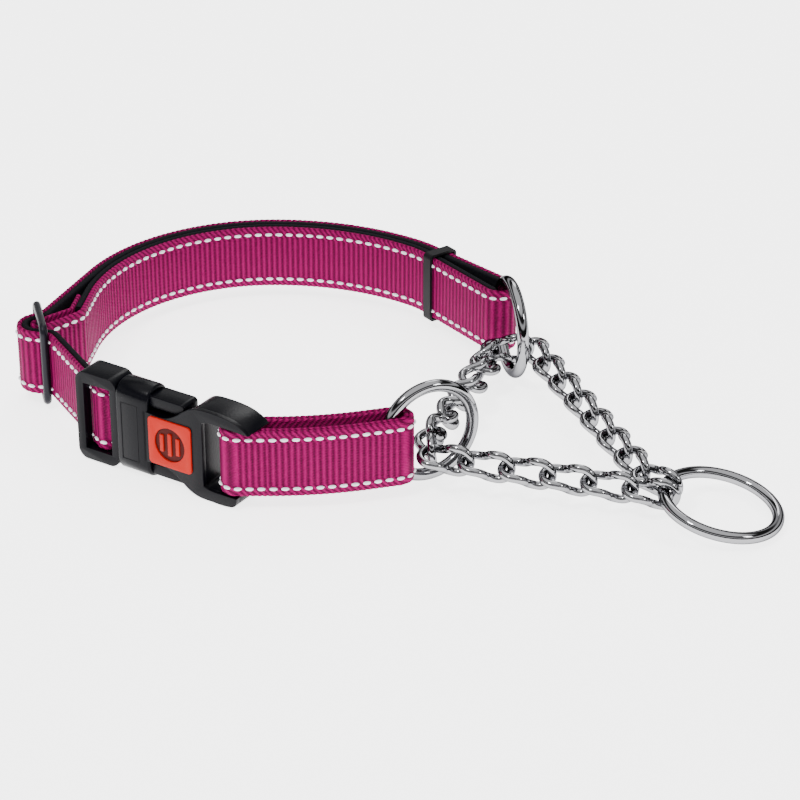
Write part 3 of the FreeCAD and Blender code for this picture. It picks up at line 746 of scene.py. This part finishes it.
def rounded_frame(name, outer, inner, first, last, rim):
    """A sleeve along the buckle's X with rounded outer edges: half sizes of its outside and its hole."""
    mesh = bpy.data.meshes.new(name)
    bm = bmesh.new()
    rings = []
    for x, (half_y, half_z), round_off in (
        (first, inner, 3.0),
        (first, (outer[0] - rim, outer[1] - rim), 4.6),
        (first + 0.3 * rim, (outer[0] - 0.3 * rim, outer[1] - 0.3 * rim), 5.2),
        (first + rim, outer, 5.5),
        (last - rim, outer, 5.5),
        (last - 0.3 * rim, (outer[0] - 0.3 * rim, outer[1] - 0.3 * rim), 5.2),
        (last, (outer[0] - rim, outer[1] - rim), 4.6),
        (last, inner, 3.0),
    ):
        ring = []
        for corner, (sy, sz) in enumerate(((1, 1), (-1, 1), (-1, -1), (1, -1))):
            for step in range(7):
                angle = math.radians(90 * corner + 15 * step)
                y = sy * (half_y - round_off) + round_off * math.cos(angle)
                z = sz * (half_z - round_off) + round_off * math.sin(angle)
                ring.append(bm.verts.new(buckle_point(x, y, z)))
        rings.append(ring)
    for k in range(len(rings)):
        here, there = rings[k], rings[(k + 1) % len(rings)]
        for n in range(len(here)):
            m = (n + 1) % len(here)
            bm.faces.new((here[n], here[m], there[m], there[n]))
    bmesh.ops.recalc_face_normals(bm, faces=bm.faces)
    bm.to_mesh(mesh)
    bm.free()
    mesh.shade_smooth()
    mesh.set_sharp_from_angle(angle=math.radians(45))
    return new_object(name, mesh, black)


mouth = rounded_frame("buckle_socket_mouth", (6.2, 17.5), (4.5, 15.8), -13.5, 0.4, 0.9)
for part in socket_parts + [mouth]:
    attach(part, "collar")
    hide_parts("buckle_socket")

turn = [math.radians(15 * k) for k in range(24)]


def upright_bar(name, x, radius, half, body):
    """A round upright bar of the buckle."""
    mesh = bpy.data.meshes.new(name)
    bm = bmesh.new()
    ends = []
    for z in (-half, half):
        rim = [buckle_point(x + radius * math.cos(a), radius * math.sin(a), z) for a in turn]
        ends.append([bm.verts.new(spot) for spot in rim])
        bm.faces.new(ends[-1])
    for k in range(len(turn)):
        n = (k + 1) % len(turn)
        bm.faces.new((ends[0][k], ends[0][n], ends[1][n], ends[1][k]))
    bmesh.ops.recalc_face_normals(bm, faces=bm.faces)
    bm.to_mesh(mesh)
    bm.free()
    mesh.shade_smooth()
    mesh.set_sharp_from_angle(angle=math.radians(45))
    obj = new_object(name, mesh, black)
    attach(obj, body)
    return obj


# The bar that the short strap turns round, between the socket's arms.
socket_bar = upright_bar("buckle_socket_bar", SOCKET_BAR_X, SOCKET_BAR, 14.5, "collar")
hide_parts("buckle_socket")

# A fine raised outline on the mouth's face.
for label, x_span, z_span in (
    ("left", (-11.2, -10.9), (-11.5, 10.5)),
    ("top", (-11.2, -4.0), (10.3, 10.6)),
    ("bottom", (-11.2, -4.0), (-11.6, -11.3)),
    ("right", (-4.3, -4.0), (-11.5, 10.5)),
):
    corners = [
        (x_span[0], z_span[0]),
        (x_span[1], z_span[0]),
        (x_span[1], z_span[1]),
        (x_span[0], z_span[1]),
    ]
    line = plate(f"mouth_panel_{label}", [Vector(c) for c in corners], -6.32, -6.1, 0.04, black)
    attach(line, "collar")

for node, body, width in (
    ("buckle_plug", "plug", 0.0026),
    ("upper_prong", "upper_prong", 0.0024),
    ("lower_prong", "lower_prong", 0.0024),
):
    moulded(node, body, black, width)
moulded("lock_slide", "lock", lock_finish.material, 0.0006)

# The floor of the lock's round recess, painted a deeper red as shade, with the grip bars standing in it.
recess_shade_finish = Finish(
    "red_plastic_recess_shade",
    Base_Color=(0.05, 0.002, 0.001, 1.0),
    Roughness=0.5,
    Specular_IOR_Level=0.08,
)
LOCK_FROM = 1.1
LOCK_SIDE = 18.2
DIAL_RADIUS = 6.3
lock_centre = LOCK_FROM + LOCK_SIDE / 2
dial = [Vector((lock_centre + DIAL_RADIUS * math.cos(a), DIAL_RADIUS * math.sin(a))) for a in turn]
# Painted shade: a dark red disc laid where the recess floor lies in shade.
recess = plate("lock_recess_shade", dial, -6.32, -6.0, 0.03, recess_shade_finish.material)
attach(recess, "lock")


# ---------------------------------------------------------------------------------------------------
# Metal and rubber: the coated slider, the keeper band, the chromed rings and links.
# They keep the CAD nodes' own meshes and only get better materials.
# ---------------------------------------------------------------------------------------------------


def paint(node, material):
    """Give a CAD node's own mesh a better material."""
    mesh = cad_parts[node].data
    mesh.materials.clear()
    mesh.materials.append(material)
    mesh.shade_smooth()
    mesh.set_sharp_from_angle(angle=math.radians(50))


chrome_finish = Finish(
    "chromed_steel",
    Base_Color=(0.23, 0.23, 0.24, 1.0),
    Metallic=1.0,
    Roughness=0.08,
    Specular_Tint=(0.2, 0.2, 0.2, 1.0),
)
coated_finish = Finish(
    "black_coated_steel",
    Base_Color=(0.006, 0.006, 0.01, 1.0),
    Metallic=0.3,
    Roughness=0.35,
    Specular_IOR_Level=0.2,
)
rubber_finish = Finish(
    "black_rubber_band",
    Base_Color=(0.003, 0.003, 0.004, 1.0),
    Roughness=0.6,
    Specular_IOR_Level=0.15,
)
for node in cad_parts:
    if "link" in node or node in ("far_ring", "near_ring", "leash_ring"):
        paint(node, chrome_finish.material)
paint("strap_slider", coated_finish.material)
paint("keeper_loop", rubber_finish.material)


# ---------------------------------------------------------------------------------------------------
# Studio: a white floor, a wide overhead light, and a world with a dark band for the metal to mirror.
# ---------------------------------------------------------------------------------------------------

floor_mesh = bpy.data.meshes.new("floor")
reach = 4.0
corners = [(-reach, -reach, 0.0), (reach, -reach, 0.0), (reach, reach, 0.0), (-reach, reach, 0.0)]
floor_mesh.from_pydata(corners, [], [(0, 1, 2, 3)])
floor_finish = Finish(
    "white_floor",
    Base_Color=(0.9, 0.9, 0.9, 1.0),
    Roughness=0.95,
    Emission_Color=(1.0, 1.0, 1.0, 1.0),
    Emission_Strength=3.2,
    Specular_IOR_Level=0.0,
)
floor = new_object("floor", floor_mesh, floor_finish.material)
floor.location.z = -0.0003
floor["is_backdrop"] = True


def area_light(name, spot, aim, size, power):
    """A soft rectangular light."""
    data = bpy.data.lights.new(name, "AREA")
    data.size = size
    data.energy = power
    light = bpy.data.objects.new(name, data)
    light.location = spot
    light.rotation_euler = (Vector(aim) - Vector(spot)).to_track_quat("-Z", "Y").to_euler()
    bpy.context.scene.collection.objects.link(light)
    return light


area_light("key_light", (-0.5, -0.5, 1.1), (0, 0, 0), 0.18, 7.5)
area_light("fill_light", (0.9, -0.4, 0.7), (0, 0, 0), 0.18, 3.0)
area_light("back_light", (0.2, 1.0, 0.9), (0, 0, 0), 0.45, 4.5)

world = bpy.data.worlds.new("studio")
bpy.context.scene.world = world
world.use_nodes = True
background = world.node_tree.nodes["Background"]
spot = world.node_tree.nodes.new("ShaderNodeTexCoord")
split_up = world.node_tree.nodes.new("ShaderNodeSeparateXYZ")
ramp = world.node_tree.nodes.new("ShaderNodeValToRGB")
world.node_tree.links.new(spot.outputs["Generated"], split_up.inputs[0])
world.node_tree.links.new(split_up.outputs[2], ramp.inputs[0])
world.node_tree.links.new(ramp.outputs[0], background.inputs[0])
stops = (
    (0.0, 0.01),
    (0.26, 0.01),
    (0.33, 0.7),
    (0.44, 0.7),
    (0.52, 0.02),
    (0.70, 0.02),
    (0.80, 1.0),
    (1.0, 1.0),
)
while len(ramp.color_ramp.elements) < len(stops):
    ramp.color_ramp.elements.new(0.5)
for element, (at, level) in zip(ramp.color_ramp.elements, stops):
    element.position = at
    element.color = (level, level, level, 1.0)
background.inputs[1].default_value = 2.0

camera_data = bpy.data.cameras.new("camera")
camera_data.lens = 128.6
camera_data.sensor_width = 36.0
camera = bpy.data.objects.new("camera", camera_data)
camera.location = place(0.0, -927.2, 493.0)
aim = place(0.0, 0.0, 0.0) - camera.location
camera.rotation_euler = aim.to_track_quat("-Z", "Y").to_euler()
bpy.context.scene.collection.objects.link(camera)
bpy.context.scene.camera = camera

low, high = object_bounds()
